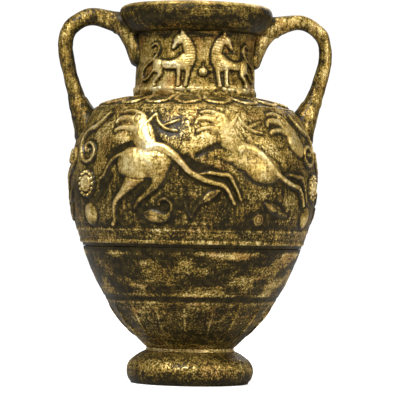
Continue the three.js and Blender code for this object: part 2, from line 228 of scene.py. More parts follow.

# %% [markdown]
# ## The outline of the pot
# A thrown pot is its outline turned round an axis. Each section's outline is a smooth curve through a
# few points, given as radius and height in millimetres. The same curves later tell every
# figure where the wall is, so the clay laid on it follows the belly.


# %% Smooth curves
def smooth(points, steps=10):
    """A smooth curve through points. Every column is carried along, so a width may go with a place."""
    p = np.array(points, float)
    p = np.vstack([2 * p[0] - p[1], p, 2 * p[-1] - p[-2]])
    curve = []
    for a, b, c, d in zip(p, p[1:], p[2:], p[3:]):
        for t in np.arange(steps) / steps:
            bend = (2 * a - 5 * b + 4 * c - d) * t * t + (3 * b - a - 3 * c + d) * t**3
            curve.append(0.5 * (2 * b + (c - a) * t + bend))
    return np.array(curve + [p[-2]])


def spaced(points, gap):
    """The same curve with a point every gap."""
    length = np.r_[0, np.cumsum(np.linalg.norm(np.diff(points[:, :2], axis=0), axis=1))]
    at = np.linspace(0, length[-1], max(2, round(length[-1] / gap) + 1))
    return np.column_stack([np.interp(at, length, column) for column in points.T])


def bell(value, middle, width):
    """1 at the middle, falling smoothly to nothing on both sides."""
    return np.exp(-(((value - middle) / width) ** 2))


def ramp(value, low, high):
    """0 below low and 1 above high, with a smooth rise between."""
    t = np.clip((value - low) / (high - low), 0, 1)
    return t * t * (3 - 2 * t)


# %% The outline, section by section
BOWL_JOINT = 126.0
NECK_JOINT = 263.6
MOUTH_JOINT = 323.4
foot_side = smooth([(54.6, 0), (57.8, 5.5), (58.9, 12), (58, 16.6), (54.9, 21.4), (48.6, 26.4), (41.6, 30)])
lower_side = smooth([(40.8, 33), (45.8, 38), (55.2, 46.4), (65.5, 57.3), (73.5, 68.5), (81, 81), (89.5, 96.2),
                     (96.4, 112.2), (101.7, BOWL_JOINT)])
upper_side = smooth([(101.7, BOWL_JOINT), (107, 141), (110.5, 153), (113.2, 170), (114.2, 188), (112.9, 206),
                     (109.4, 223), (103.8, 236.5), (98.4, 246), (94.4, 251.4), (86.2, 256.2), (77.3, 259.4),
                     (66, 262), (56.5, NECK_JOINT)])
neck_side = smooth([(56.5, NECK_JOINT), (55.9, 272), (55.1, 288), (54.8, 306), (55.2, 316),
                    (56.8, MOUTH_JOINT)])
mouth_side = smooth([(57, MOUTH_JOINT), (60.8, 324.6), (67.2, 330.2), (70.6, 336.6), (71.4, 340.6),
                     (71, 343.4)])
mouth_bead = smooth([(71, 343.4), (70.3, 345.8), (68.2, 348.2), (65, 349.8), (62.2, 349.4)], 6)
wall = np.vstack([lower_side, upper_side[1:], neck_side[1:], mouth_side[1:], mouth_bead])
SLOPE_SPAN = 0.7  # the wall's slope is read this far above and below a height


def wall_at(height):
    """Radius of the wall and its outward direction, for an array of heights in millimetres."""
    radius = np.interp(height, wall[:, 1], wall[:, 0])
    ahead = np.interp(height + SLOPE_SPAN, wall[:, 1], wall[:, 0])
    behind = np.interp(height - SLOPE_SPAN, wall[:, 1], wall[:, 0])
    slope = (ahead - behind) / (2 * SLOPE_SPAN)
    steep = np.sqrt(1 + slope**2)
    return radius, 1 / steep, -slope / steep


print("widest at", round(upper_side[:, 0].max(), 1), "mm from the axis")

# %% [markdown]
# ## Figures in clay
# A sprig is modelled by pressing rolls and pads of clay together on a slab and then carving lines into
# them. The same is done here with numbers: a figure is a list of rolls and pads, each with a place, a
# width and a lift off the wall, and of cuts. They are blended into one height over a flat slab, so limbs
# grow out of bodies with soft creases, as wet clay does. Angles are degrees round the pot from its
# front, and heights are millimetres above the foot.


# %% Rolls, pads and cuts
FRIEZE_RADIUS = 112
NECK_RADIUS = 54
FRIEZE_PITCH = math.degrees(1 / FRIEZE_RADIUS)  # how many degrees one millimetre of the frieze takes up
CREASE_FILL = 1.3  # how far clay fills the crease between two strokes
FAR, BELOW_SLAB = 60.0, -8.0  # where there is no clay
ROLL_FULLNESS, PAD_FULLNESS = 0.6, 0.85  # the smaller, the steeper a stroke's sides


def roll(lift, *points):
    return {"kind": "roll", "lift": lift, "points": points}


def cut(depth, *points):
    return {"kind": "cut", "lift": depth, "points": points}


def pad(lift, angle, height, half_across, half_up, tilt=0):
    return {"kind": "pad", "lift": lift, "points": ((angle, height, half_across, half_up, tilt),)}


def turned_by(strokes, angle, mirror=1):
    """The same figure somewhere else round the pot, or its mirror image."""
    moved = []
    for stroke in strokes:
        points = [(angle + mirror * p[0], *p[1:4], *(mirror * q for q in p[4:])) for p in stroke["points"]]
        moved.append({**stroke, "points": points})
    return moved


def around(angle, radius):
    """Distance round the pot, in millimetres."""
    return np.radians(angle) * radius


def ring_of(width, angle, height, size, pitch, count=8):
    """Points round a circle. pitch is how many degrees one millimetre takes up there."""
    return [(angle + size * pitch * math.cos(a), height + size * math.sin(a), width)
            for a in np.linspace(0, 2 * math.pi, count + 1)]


def soft_max(a, b):
    """The higher of two heights, with the crease between them filled."""
    share = np.clip(0.5 + 0.5 * (a - b) / CREASE_FILL, 0, 1)
    return b + (a - b) * share + CREASE_FILL * share * (1 - share)


def distance_to_roll(points, radius, x, y):
    """Distance to a roll's middle line and the roll's half width there."""
    line = smooth([(around(p[0], radius), p[1], p[2] / 2) for p in points], 6)
    nearest = np.full(x.shape, 1e9)
    half = np.ones(x.shape)
    share = np.full(x.shape, 1e9)
    for (x0, y0, w0), (x1, y1, w1) in zip(line, line[1:]):
        along_x, along_y = x1 - x0, y1 - y0
        length = max(along_x**2 + along_y**2, 1e-9)
        t = np.clip(((x - x0) * along_x + (y - y0) * along_y) / length, 0, 1)
        away = np.hypot(x - x0 - t * along_x, y - y0 - t * along_y)
        width = w0 + (w1 - w0) * t
        closer = away / width < share
        share = np.where(closer, away / width, share)
        nearest = np.where(closer, away, nearest)
        half = np.where(closer, width, half)
    return nearest, half


def distance_to_pad(points, radius, x, y):
    angle, height, half_across, half_up, tilt = points[0]
    turn = math.radians(tilt)
    dx, dy = x - around(angle, radius), y - height
    u = (dx * math.cos(turn) + dy * math.sin(turn)) / half_across
    v = (dy * math.cos(turn) - dx * math.sin(turn)) / half_up
    half = math.sqrt(half_across * half_up)
    return np.hypot(u, v) * half, np.full(x.shape, half)


def modelled(strokes, radius, x, y):
    """The clay's height over the slab at x and y, the distance outside its edge, and the cuts' depth."""
    height = np.full(x.shape, BELOW_SLAB)
    gap = np.full(x.shape, FAR)
    carved = np.zeros(x.shape)
    for stroke in strokes:
        measure = distance_to_pad if stroke["kind"] == "pad" else distance_to_roll
        away, half = measure(stroke["points"], radius, x, y)
        if stroke["kind"] == "cut":
            carved += stroke["lift"] * bell(away / half, 0, 1)
            continue
        outside = away - half
        fullness = PAD_FULLNESS if stroke["kind"] == "pad" else ROLL_FULLNESS
        dome = stroke["lift"] * (1 - np.clip(away / half, 0, 1) ** 2) ** fullness
        height = soft_max(height, np.where(outside < 0, dome, -0.9 * outside))
        gap = np.minimum(gap, outside)
    return np.where(height > 0.2, np.maximum(height - carved, 0.2), height), gap, carved


# %% Clay texture
def grain(x, y, cell, seed):
    """Soft random lumps between -1 and 1, the same on every run."""
    lattice = np.random.default_rng(seed).uniform(-1, 1, (256, 256))
    u, v = np.asarray(x) / cell + 1000, np.asarray(y) / cell + 1000
    i, j = np.floor(u).astype(int), np.floor(v).astype(int)
    s, t = u - i, v - j
    s, t = s * s * (3 - 2 * s), t * t * (3 - 2 * t)
    corner = lambda a, b: lattice[(i + a) % 256, (j + b) % 256]
    low = corner(0, 0) * (1 - s) + corner(1, 0) * s
    high = corner(0, 1) * (1 - s) + corner(1, 1) * s
    return low * (1 - t) + high * t


def wall_grain(angle, height, radius, cell, seed):
    """The same lumps round the pot. The smaller the radius, the more they are drawn out sideways."""
    return grain(around(angle, radius), height, cell, seed)


print("clay tools ready")

# %% [markdown]
# ## The beasts of the frieze
# Two beasts gallop to the right with their heads turned back and jaws open. The near foreleg is one
# long roll that starts high on the shoulder and crosses the body; the far one lies lower and flatter.
# The second beast is more worn: its barrel stands out and its hindquarters have almost gone.


# %% Beast drawings
beast_head = [
    roll(2.4, (-21.6, 237, 3.4), (-20.4, 240, 4.4), (-17, 241.4, 5.4), (-13, 240.2, 6.4), (-8.5, 238.4, 9)),
    roll(2.2, (-20.8, 229.6, 3.6), (-18.8, 231.6, 4.2), (-15.5, 232.6, 4.6), (-11, 231.6, 7), (-6, 232, 11)),
    pad(3.0, -8.6, 239.2, 9, 7.8, -18),
    roll(2.2, (-19.2, 246.6, 2.8), (-15.5, 247.8, 3.6), (-11.5, 246.6, 4.4), (-7.5, 243, 6)),
    roll(2.6, (-7, 236.5, 13), (-5.4, 230, 19), (-4, 223.6, 22), (-1.4, 217.6, 17)),
    pad(1.0, -9.4, 240.4, 2.2, 2.2),
    cut(0.9, *ring_of(1.3, -9.4, 240.4, 3.4, FRIEZE_PITCH)),
    cut(0.6, (-3.2, 236, 1.2), (-1.8, 229, 1.2), (0.4, 222, 1.2)),
]
forelegs = [
    roll(3.2, (-1, 213.5, 7), (2, 215.6, 8), (6, 214, 8.6), (10.4, 209, 7.6), (14.7, 201, 6.2),
         (18.2, 193.6, 5.8), (24, 187.2, 5.4), (28.6, 184, 5), (33.4, 181.8, 5), (35.6, 177.4, 4),
         (37.4, 171.4, 3.6), (38.9, 166, 4)),
    roll(1.0, (21, 190.2, 3), (24.5, 192, 2.6), (28, 192.8, 3)),
    roll(2.4, (27.2, 192.8, 3.4), (32.4, 191.4, 4.2), (36.2, 190.4, 4.4), (38.6, 183, 3.6), (40.4, 176, 3.4),
         (42, 169.4, 4)),
]
flying_mane = [
    roll(1.9, (-3.4, 237, 4.4), (-0.6, 243, 3.4), (0.4, 244.4, 3), (2.4, 237, 3.4), (6.6, 231.4, 3.6),
         (12, 229.4, 2.6)),
    roll(1.5, (4.8, 233.8, 3), (8.4, 236.6, 3.4), (12.6, 239.4, 2.4)),
]
leading_body = [
    pad(3.2, -8.4, 201.2, 16.4, 14.2, 10),
    pad(3.1, -4, 201.6, 18, 14.4),
    pad(2.7, 1.8, 200.4, 16, 13.6),
    roll(2.9, (-5.6, 194, 22), (-9.4, 183, 13), (-13.8, 173.6, 7), (-17.4, 165.6, 5.6), (-18.4, 157, 4.2),
         (-18.4, 150.4, 3.8), (-20, 146.4, 5)),
    roll(2.0, (4.6, 191, 14), (3, 181, 8), (-1, 173.8, 5.6), (-4.6, 168, 4.6), (-7, 161.4, 3.8)),
    roll(1.9, (-8, 211.6, 5), (-14.2, 208.8, 4), (-19.1, 204, 3.6), (-22, 197.4, 3.4), (-24, 190, 3.4),
         (-26.4, 187, 3)),
    cut(0.7, (-12.6, 189.5, 1.6), (-6, 186.2, 1.6), (0, 187.4, 1.6)),
]
following_body = [
    pad(2.6, 11.2, 197, 20, 13, -8),
    pad(1.7, 2, 204.8, 16, 9.4, -6),
    roll(1.3, (-9.4, 206.6, 2.6), (-6.6, 204.4, 4.4), (-2, 203.6, 8)),
]
LEADING_ANGLE = -25.5
FOLLOWING_ANGLE = 17


def worn_down(strokes, share):
    """The same figure with less lift."""
    return [{**stroke, "lift": stroke["lift"] * share} for stroke in strokes]


leading_beast = turned_by(leading_body + forelegs + beast_head + flying_mane, LEADING_ANGLE)
worn_head = worn_down(beast_head, 0.6) + worn_down(flying_mane, 0.85)
following_beast = turned_by(following_body + forelegs + worn_head, FOLLOWING_ANGLE)
third_head = turned_by(worn_down(beast_head, 0.7), 55.5)
print("beasts drawn with", len(leading_beast), "and", len(following_beast), "rolls, pads and cuts")

# %% [markdown]
# Small fillers lie in the gaps under the beasts: a waterfowl with its neck curled back, a leaf on a
# bent stem, a worn wing and a boss. The panels beside the handles hold a hanging scroll, a beaded rosette
# and a plain tablet. Under each handle two spirals grow from a leafy stem.

# %% Fillers and panels
waterfowl = [
    pad(2.3, -22.6, 152.6, 12.4, 5, -5),
    roll(2.0, (-18, 152.6, 7), (-16, 156.4, 4.4), (-15, 161.4, 3.2), (-15.8, 166.4, 3), (-18.2, 169.2, 3),
         (-20.6, 167.6, 3), (-20.8, 164.4, 3.2)),
    roll(1.2, (-28, 157, 2.6), (-25, 157.4, 4), (-20, 155.6, 3)),
    cut(0.6, (-27, 154.6, 1), (-22, 153.8, 1), (-18.6, 150.8, 1)),
]
leaf = [
    roll(1.8, (-2.6, 165.6, 2.4), (0.6, 170, 7), (3, 173.6, 7.4), (6, 177, 3.4)),
    roll(1.0, (-2.4, 166, 2), (-4.8, 159, 1.8), (-6, 152.4, 1.8)),
    roll(1.0, (-9, 166, 1.8), (-7.8, 158, 1.8), (-6, 152.4, 1.8)),
    cut(0.6, (-1.6, 167, 0.9), (5, 176, 0.9)),
]
wing = [
    roll(1.5, (30, 166, 4), (34, 162.4, 9), (38, 160, 9), (43.4, 156, 4)),
    cut(0.5, (32, 167, 1.2), (38, 161, 1.2), (42.5, 159, 1.2)),
    cut(0.5, (31, 162, 1.2), (37, 157.6, 1.2), (41, 156, 1.2)),
]
boss = [pad(2.2, 26.5, 152, 6, 6), cut(0.8, *ring_of(1, 26.5, 152, 3.2, 0.5))]
hanging_scroll = [
    roll(2.3, (55, 246.4, 2.8), (58.4, 240.4, 4), (62.6, 234.6, 4.4), (68.2, 230.6, 4.4), (71.2, 224, 4.4),
         (71, 215.4, 4.2), (68.8, 207.6, 4.2), (64.6, 202.6, 4), (60, 203.8, 3.8), (57.8, 210, 3.6),
         (59.6, 216.8, 3.4), (63.8, 219.4, 3.2), (66.6, 215.6, 3), (64.6, 211.6, 3)),
    pad(1.5, 63.4, 212.4, 2.6, 2.6),
]


def rosette(angle, height=182.5, radius=12, beads=14):
    centre = (angle, height)
    rim = ring_of(0, *centre, radius - 1.4, FRIEZE_PITCH, beads)[:-1]
    return [pad(1.5, *centre, radius, radius), pad(2.9, *centre, 3.4, 3.4),
            roll(2.6, *ring_of(2.6, *centre, 6.2, FRIEZE_PITCH, 12)),
            *[pad(2.8, x, y, 2.1, 2.1) for x, y, _ in rim],
            cut(1.3, *ring_of(1.7, *centre, 8.6, FRIEZE_PITCH, 12))]


def tablet(angle, height=155):
    return [pad(1.9, angle, height, 10.5, 10.5), pad(2.3, angle, height + 1, 8, 7.4)]


def palmette():
    strokes = [roll(1.8, (0, 192, 5), (0, 174, 4.6), (0, 150, 3.6))]
    for side in (-1, 1):
        strokes.append(roll(2.2, (side * 0.6, 184, 4), (side * 4.6, 193, 3.8), (side * 11, 199, 3.8),
                            (side * 13, 207, 3.8), (side * 9.4, 214.4, 3.6), (side * 4.8, 211, 3.4),
                            (side * 4.6, 204.4, 3.2), (side * 8, 202.8, 3)))
        for tip, low in ((9.6, 172), (7.8, 158)):
            strokes.append(roll(1.9, (side * 0.4, low - 7, 2.4), (side * tip * 0.5, low - 2, 6.6),
                                (side * tip, low + 6, 2.6)))
    return strokes


print("a rosette has", len(rosette(0)), "rolls and pads")

# %% [markdown]
# ## The lions of the neck
# Two lions stand face to face and look back over their shoulders. One is the mirror image of the other.
# Their manes are combed with short cuts, which catch gold on the ridges between.


# %% Lion drawing
def mane_cuts():
    spine = smooth([(-17.6, 320), (-12.6, 312), (-10.4, 304.5), (-10.6, 297), (-13, 290.6)], 3)
    return [cut(0.5, (a - 3.4, z - 0.8, 0.8), (a + 4.4, z + 0.6, 0.8)) for a, z in spine]


lion = [
    pad(2.5, -43.4, 291.6, 7, 7.2),
    roll(2.2, (-44, 293, 9), (-36.8, 292.4, 8.6), (-30.5, 292, 8.6), (-24, 292.8, 10), (-17, 294, 13)),
    pad(2.7, -15.4, 294.6, 7.4, 8.6),
    roll(2.5, (-12.4, 291.4, 9), (-10.4, 298.4, 10.4), (-11.2, 305.6, 10.6), (-14, 312.6, 9.4),
         (-17, 318, 6.4), (-17.6, 323, 2.8)),
    pad(2.6, -20.6, 315.4, 6.8, 4.6, 35),
    roll(2.1, (-22.4, 313.6, 5.6), (-25, 310.4, 4.6), (-26.8, 307.8, 3.4)),
    roll(2.2, (-21.4, 290.6, 6), (-21, 284.8, 4.2), (-21.2, 278, 3.6), (-21.6, 273.6, 4.8)),
    roll(2.0, (-11.8, 289.4, 6), (-12.8, 282, 4.2), (-13.8, 277, 3.6), (-14.2, 273.4, 4.8)),
    roll(2.3, (-43.6, 289.6, 9), (-40.4, 284.4, 5.6), (-43.4, 280, 4), (-46.8, 276, 3.8),
         (-46.2, 273.4, 4.6)),
    roll(1.9, (-47, 288.6, 3.2), (-52, 283.4, 2.6), (-58, 279.4, 2.5), (-63.4, 279.6, 2.5), (-65, 284.4, 2.5),
         (-60.6, 290.6, 2.5), (-53, 295, 2.5), (-46.6, 299, 2.5), (-42.6, 304.6, 2.5), (-42.4, 309.4, 2.5),
         (-46, 311.8, 2.5), (-50.6, 309.8, 2.4)),
    cut(0.8, (-24.6, 309.4, 0.9), (-22, 311.2, 0.9)),
    pad(0.7, -20.4, 316.6, 1.2, 1.2),
    cut(0.6, (-36.4, 287.6, 1.4), (-38.4, 293, 1.4), (-38, 297, 1.4)),
    *mane_cuts(),
]
right_lion = turned_by(lion, 4, -1)
neck_boss = [pad(1.9, 2, 285.5, 4.2, 4.2), cut(0.6, *ring_of(0.8, 2, 285.5, 2.2, 12 / 11)),
             roll(1.2, (2, 289, 3), (2, 293, 1.6))]
print("a lion has", len(lion), "rolls, pads and cuts")

# %% [markdown]
# ## Rubbed gold over black-brown glaze
# Gold paint is dabbed on with a sponge and then rubbed, so it breaks into specks about a millimetre
# across, gathers in patches and is dragged into streaks. One node group makes the whole finish. Each piece
# carries a vertex attribute, rub, which says how much gold its shape would catch; on some pieces it also
# holds painted light and shade. Noises in object space break that up. The group gives colour, metallic,
# roughness and a height for a bump.


# %% The rubbed gold group
def make_rubbed_gold():
    group = bpy.data.node_groups.new("rubbed_gold", "ShaderNodeTree")
    sockets = group.interface
    for name in ("Rub", "Specks", "Patches", "Upright streaks", "Level streaks", "Ochre"):
        sockets.new_socket(name, in_out="INPUT", socket_type="NodeSocketFloat")
    sockets.new_socket("Color", in_out="OUTPUT", socket_type="NodeSocketColor")
    for name in ("Metallic", "Roughness", "Height"):
        sockets.new_socket(name, in_out="OUTPUT", socket_type="NodeSocketFloat")
    t = Tree(group)
    given = t.node("NodeGroupInput").outputs
    place = t.node("TexCoord").outputs["Object"]

    speck = t.noise(place, 620, 4, 0.7)
    dab = t.noise(place, 190, 3, 0.6)
    patch = t.noise(t.stretched(place, (1, 1, 1.7)), 34, 3, 0.6)
    upright = t.noise(t.stretched(place, (1, 1, 0.09)), 420, 3, 0.6)
    level = t.noise(t.stretched(place, (0.06, 0.06, 1)), 420, 3, 0.6)

    def swing(noise, strength):
        return t.math("MULTIPLY", t.math("SUBTRACT", noise, 0.5), strength)

    cover = t.math("ADD", given["Rub"], swing(speck, given["Specks"]))
    cover = t.math("ADD", cover, swing(dab, 0.7))
    cover = t.math("ADD", cover, swing(patch, given["Patches"]))
    cover = t.math("ADD", cover, swing(upright, given["Upright streaks"]))
    cover = t.math("ADD", cover, swing(level, given["Level streaks"]))
    gold = t.step(cover, 0.24, 0.80)

    warm = t.step(t.noise(place, 55, 2), 0.35, 0.7)
    deep_gold = t.mix(warm, (0.27, 0.165, 0.026, 1), (0.36, 0.245, 0.045, 1))
    bright_gold = t.mix(warm, (0.80, 0.61, 0.22, 1), (0.96, 0.84, 0.50, 1))
    thick = t.step(cover, 0.5, 1.25)
    paint = t.mix(thick, deep_gold, bright_gold)
    rust = t.step(t.noise(place, 48, 4), 0.52, 0.68, 0.0, given["Ochre"])
    paint = t.mix(rust, paint, (0.33, 0.14, 0.035, 1))
    glaze = t.mix(t.step(dab, 0.4, 0.7), (0.012, 0.009, 0.003, 1), (0.036, 0.026, 0.007, 1))

    out = t.node("NodeGroupOutput").inputs
    t.join(t.mix(gold, glaze, paint), out["Color"])
    t.join(t.math("MULTIPLY", gold, 0.72), out["Metallic"])
    sheen = t.math("ADD", t.math("MULTIPLY", gold, -0.10), swing(dab, 0.22))
    t.join(t.math("ADD", sheen, 0.47), out["Roughness"])
    t.join(t.math("ADD", t.math("MULTIPLY", gold, 0.5), t.math("MULTIPLY", speck, 0.8)), out["Height"])
    return group


rubbed_gold = make_rubbed_gold()
print("rubbed_gold has", len(rubbed_gold.nodes), "nodes")


# %% One finish for each kind of piece
PAINT_THICKNESS = 0.0006


def make_finish(name, specks, patches, upright, level, ochre, coat):
    finish = bpy.data.materials.new(name)
    finish.use_nodes = True
    t = Tree(finish.node_tree)
    shader = finish.node_tree.nodes["Principled BSDF"]
    rub = t.node("Attribute", attribute_name="rub").outputs["Fac"]
    gold = t.node("Group")
    gold.node_tree = rubbed_gold
    t.join(rub, gold.inputs["Rub"])
    for socket, value in zip(list(gold.inputs)[1:], (specks, patches, upright, level, ochre)):
        socket.default_value = value
    t.join(gold.outputs["Color"], shader.inputs["Base Color"])
    t.join(gold.outputs["Metallic"], shader.inputs["Metallic"])
    t.join(gold.outputs["Roughness"], shader.inputs["Roughness"])
    bump = t.node("Bump")
    bump.inputs["Strength"].default_value = 0.55
    bump.inputs["Distance"].default_value = PAINT_THICKNESS
    t.join(gold.outputs["Height"], bump.inputs["Height"])
    t.join(bump.outputs["Normal"], shader.inputs["Normal"])
    shader.inputs["Specular IOR Level"].default_value = 0.07
    shader.inputs["Specular Tint"].default_value = (1, 0.88, 0.68, 1)
    shader.inputs["Coat Weight"].default_value = coat
    shader.inputs["Coat Roughness"].default_value = 0.3
    return finish


body_finish = make_finish("body_glaze_and_gold", 2.2, 0.5, 1.0, 0.4, 0.4, 0.07)
lower_finish = make_finish("lower_glaze_and_gold", 2.4, 0.45, 0.3, 0.7, 0.4, 0.04)
neck_finish = make_finish("neck_glaze_and_gold", 1.55, 0.4, 0.35, 0.6, 0.6, 0.04)
handle_finish = make_finish("handle_glaze_and_gold", 1.4, 0.5, 1.1, 0.1, 0.4, 0.1)
relief_finish = make_finish("relief_gold", 1.3, 0.35, 0.4, 0.3, 0.3, 0.2)
print("five finishes")

# %% [markdown]
# ## Thrown sections
# A section is one closed outline spun round the axis: up its outer face, over its lip and down its inner
# face. The clay is then worked over: throwing lines, soft lumps, the turned grooves and the rays on the
# lower bowl are pressed in along the surface normals, and every point gets its share of gold.


# %% Spin a section
MERGE_GAP = 0.00001


def settle(merge=False):
    """Turns the current piece's faces outward and shades it smooth."""
    bpy.ops.object.mode_set(mode="EDIT")
    bpy.ops.mesh.select_all(action="SELECT")
    if merge:
        bpy.ops.mesh.remove_doubles(threshold=MERGE_GAP)
    bpy.ops.mesh.normals_make_consistent(inside=False)
    bpy.ops.object.mode_set(mode="OBJECT")
    bpy.ops.object.shade_smooth()


def turned(name, outer, inner, steps, gap=1.3):
    """Spins a closed outline. outer is kept fine, and inner, from the top down, is only as fine as given."""
    fine = spaced(np.array(outer, float), gap)
    outline = np.vstack([fine, np.array(inner, float)])
    piece = added(name, bpy.ops.mesh.primitive_circle_add, vertices=len(outline), radius=0.1)
    place = np.zeros((len(outline), 3))
    place[:, 0], place[:, 2] = outline[:, 0] * MM, outline[:, 1] * MM
    piece.data.vertices.foreach_set("co", place.ravel())
    bpy.ops.object.mode_set(mode="EDIT")
    bpy.ops.mesh.select_all(action="SELECT")
    bpy.ops.mesh.spin(steps=steps, angle=2 * math.pi, center=(0, 0, 0), axis=(0, 0, 1))
    settle(merge=True)
    return piece


def points_of(piece):
    """A piece's points in millimetres, and its outward directions."""
    count = len(piece.data.vertices)
    place, normal = np.empty(count * 3), np.empty(count * 3)
    piece.data.vertices.foreach_get("co", place)
    piece.data.vertex_normals.foreach_get("vector", normal)
    return place.reshape(-1, 3) / MM, normal.reshape(-1, 3)


def put_points(piece, place):
    piece.data.vertices.foreach_set("co", (place * MM).ravel())
    piece.data.update()


def select_points(piece, chosen):
    """Selects only the chosen points, and leaves the piece in edit mode."""
    bpy.ops.object.mode_set(mode="EDIT")
    bpy.ops.mesh.select_mode(type="VERT")
    bpy.ops.mesh.select_all(action="DESELECT")
    bpy.ops.object.mode_set(mode="OBJECT")
    piece.data.vertices.foreach_set("select", chosen)
    bpy.ops.object.mode_set(mode="EDIT")


def put_rub(piece, rub):
    """Stores how much gold each point would catch."""
    layer = piece.data.attributes.new("rub", "FLOAT", "POINT")
    layer.data.foreach_set("value", np.broadcast_to(rub, len(piece.data.vertices)).astype(np.float32))


def finish_piece(piece, finish, node):
    """Gives a piece its material, and puts it in the place of a CAD node."""
    piece.data.materials.append(finish)
    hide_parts(node)
    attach(piece, "root")


def angle_of(place):
    """Degrees round the pot from its front."""
    return np.degrees(np.arctan2(place[:, 0], -place[:, 1]))


# %% [markdown]
# Glaze stays in the crease round every figure. A map of the wall, from a quarter turn left of the front
# to a quarter turn right, holds the distance to the nearest figure; the back half is the same map.

# %% A map of the creases round the figures
front_figures = {
    "leading_beast": leading_beast,
    "following_beast": following_beast,
    "third_head": third_head,
    "waterfowl": waterfowl,
    "leaf": leaf,
    "wing": wing,
    "boss": boss,
    "left_scroll": turned_by(hanging_scroll, 0, -1),
    "right_scroll": hanging_scroll,
    "left_rosette": turned_by(rosette(63), 0, -1),
    "right_rosette": rosette(67.5),
    "left_tablet": tablet(-61.5),
    "right_tablet": tablet(61.5),
}
neck_figures = {"left_lion": lion, "right_lion": right_lion, "neck_boss": neck_boss}


def extent(strokes, radius, margin):
    """The box round a figure on the slab: lowest x and y, highest x and y."""
    low, high = np.full(2, 1e9), np.full(2, -1e9)
    for stroke in strokes:
        if stroke["kind"] == "cut":
            continue
        for point in stroke["points"]:
            reach = max(point[2:4]) if stroke["kind"] == "pad" else point[2] / 2
            middle = np.array([around(point[0], radius), point[1]])
            low, high = np.minimum(low, middle - reach), np.maximum(high, middle + reach)
    return low - margin, high + margin


MAP_ANGLES = np.linspace(-90, 90, 481)
MAP_HEIGHTS = np.linspace(130, 325, 326)
NO_CREASE = 40.0
crease_map = np.full((len(MAP_HEIGHTS), len(MAP_ANGLES)), NO_CREASE)
for radius, group in (
    (FRIEZE_RADIUS, [*front_figures.values(), turned_by(palmette(), 90), turned_by(palmette(), -90)]),
    (NECK_RADIUS, list(neck_figures.values())),
):
    for strokes in group:
        low, high = extent(strokes, radius, 9)
        columns = (around(MAP_ANGLES, radius) >= low[0]) & (around(MAP_ANGLES, radius) <= high[0])
        rows = (MAP_HEIGHTS >= low[1]) & (MAP_HEIGHTS <= high[1])
        x, y = np.meshgrid(around(MAP_ANGLES[columns], radius), MAP_HEIGHTS[rows])
        gap = modelled(strokes, radius, x, y)[1]
        block = np.ix_(rows, columns)
        crease_map[block] = np.minimum(crease_map[block], gap)


haunch_groove = roll(1, (-21, 208, 1.4), (-17, 213, 2.4), (-11.6, 216.8, 3), (-5.4, 217.8, 2.6),
                     (-2.4, 218.6, 1.4))
groove_lines = turned_by([haunch_groove], LEADING_ANGLE) + turned_by([haunch_groove], FOLLOWING_ANGLE) + [
    roll(1, (-9, 207, 2), (-4.6, 200, 3), (2.4, 195.6, 3), (8, 190, 2)),
    roll(1, (-56, 168, 2), (-50, 178, 3), (-46, 190, 3)),
]


def folded(angle):
    """The same place on the front half, since the back of the pot repeats the front."""
    return (angle + 90) % 180 - 90


def groove_at(angle, height):
    """Distance outside the nearest tooled groove."""
    nearest = np.full(angle.shape, NO_CREASE)
    side = folded(angle)
    for stroke in groove_lines:
        turns = [point[0] for point in stroke["points"]]
        near = (side > min(turns) - 6) & (side < max(turns) + 6) & (height > 155) & (height < 232)
        x = around(side[near], FRIEZE_RADIUS)
        away, half = distance_to_roll(stroke["points"], FRIEZE_RADIUS, x, height[near])
        nearest[near] = np.minimum(nearest[near], away - half)
    return np.maximum(nearest, 0)


def worn_at(angle, height):
    """1 where hands have rubbed the frieze almost smooth."""
    side = folded(angle)
    over_second = bell(side, 12, 26) * ramp(height, 186, 208)
    by_first_neck = 0.95 * bell(side, -39, 9) * ramp(height, 216, 223)
    under_first_belly = 0.75 * bell(side, -21, 5) * bell(height, 189.5, 6)
    worn = np.maximum(np.maximum(over_second, by_first_neck), under_first_belly)
    return worn * (1 - 0.4 * ramp(height, 240, 252))


def crease_at(angle, height):
    """Distance to the nearest figure for arrays of angles and heights."""
    u = (angle + 90) % 180 / 180 * (len(MAP_ANGLES) - 1)
    v = (height - MAP_HEIGHTS[0]) / (MAP_HEIGHTS[-1] - MAP_HEIGHTS[0]) * (len(MAP_HEIGHTS) - 1)
    inside = (v >= 0) & (v <= len(MAP_HEIGHTS) - 1)
    v = np.clip(v, 0, len(MAP_HEIGHTS) - 1.001)
    u = np.clip(u, 0, len(MAP_ANGLES) - 1.001)
    i, j = v.astype(int), u.astype(int)
    s, t = v - i, u - j
    low = crease_map[i, j] * (1 - t) + crease_map[i, j + 1] * t
    high = crease_map[i + 1, j] * (1 - t) + crease_map[i + 1, j + 1] * t
    return np.where(inside, low * (1 - s) + high * s, NO_CREASE)


print("crease map", crease_map.shape, "nearest", round(crease_map.min(), 1), "mm")


# %% The tongues of the shoulder
TONGUES = 18
shoulder_line = spaced(upper_side[upper_side[:, 1] > 240], 0.5)[::-1]
shoulder_run = np.r_[0, np.cumsum(np.linalg.norm(np.diff(shoulder_line, axis=0), axis=1))]
SKIRT_INNER, SKIRT_MIDDLE, SKIRT_OUTER = 61, 75, 89.5  # distances from the axis
PARTING = 0.35
skirt_start, skirt_end = np.interp((SKIRT_INNER, SKIRT_OUTER), shoulder_line[:, 0], shoulder_run)
run_heights, run_lengths = shoulder_line[::-1, 1], shoulder_run[::-1]


def inside_tongue(angle, run):
    """How far a place on the shoulder is inside the nearest tongue. run is its way down from the neck."""
    radius = np.interp(run, shoulder_run, shoulder_line[:, 0])
    offset = around((angle % (360 / TONGUES)) - 180 / TONGUES, radius)
    half = around(180 / TONGUES, radius)
    past = np.minimum(skirt_end - run - half, 0)
    return half - np.where(past < 0, np.hypot(offset, past), np.abs(offset)) - PARTING


print("each tongue is", round(skirt_end - skirt_start, 1), "mm long")


# %% Work the clay over
THROWN_SEED = 11


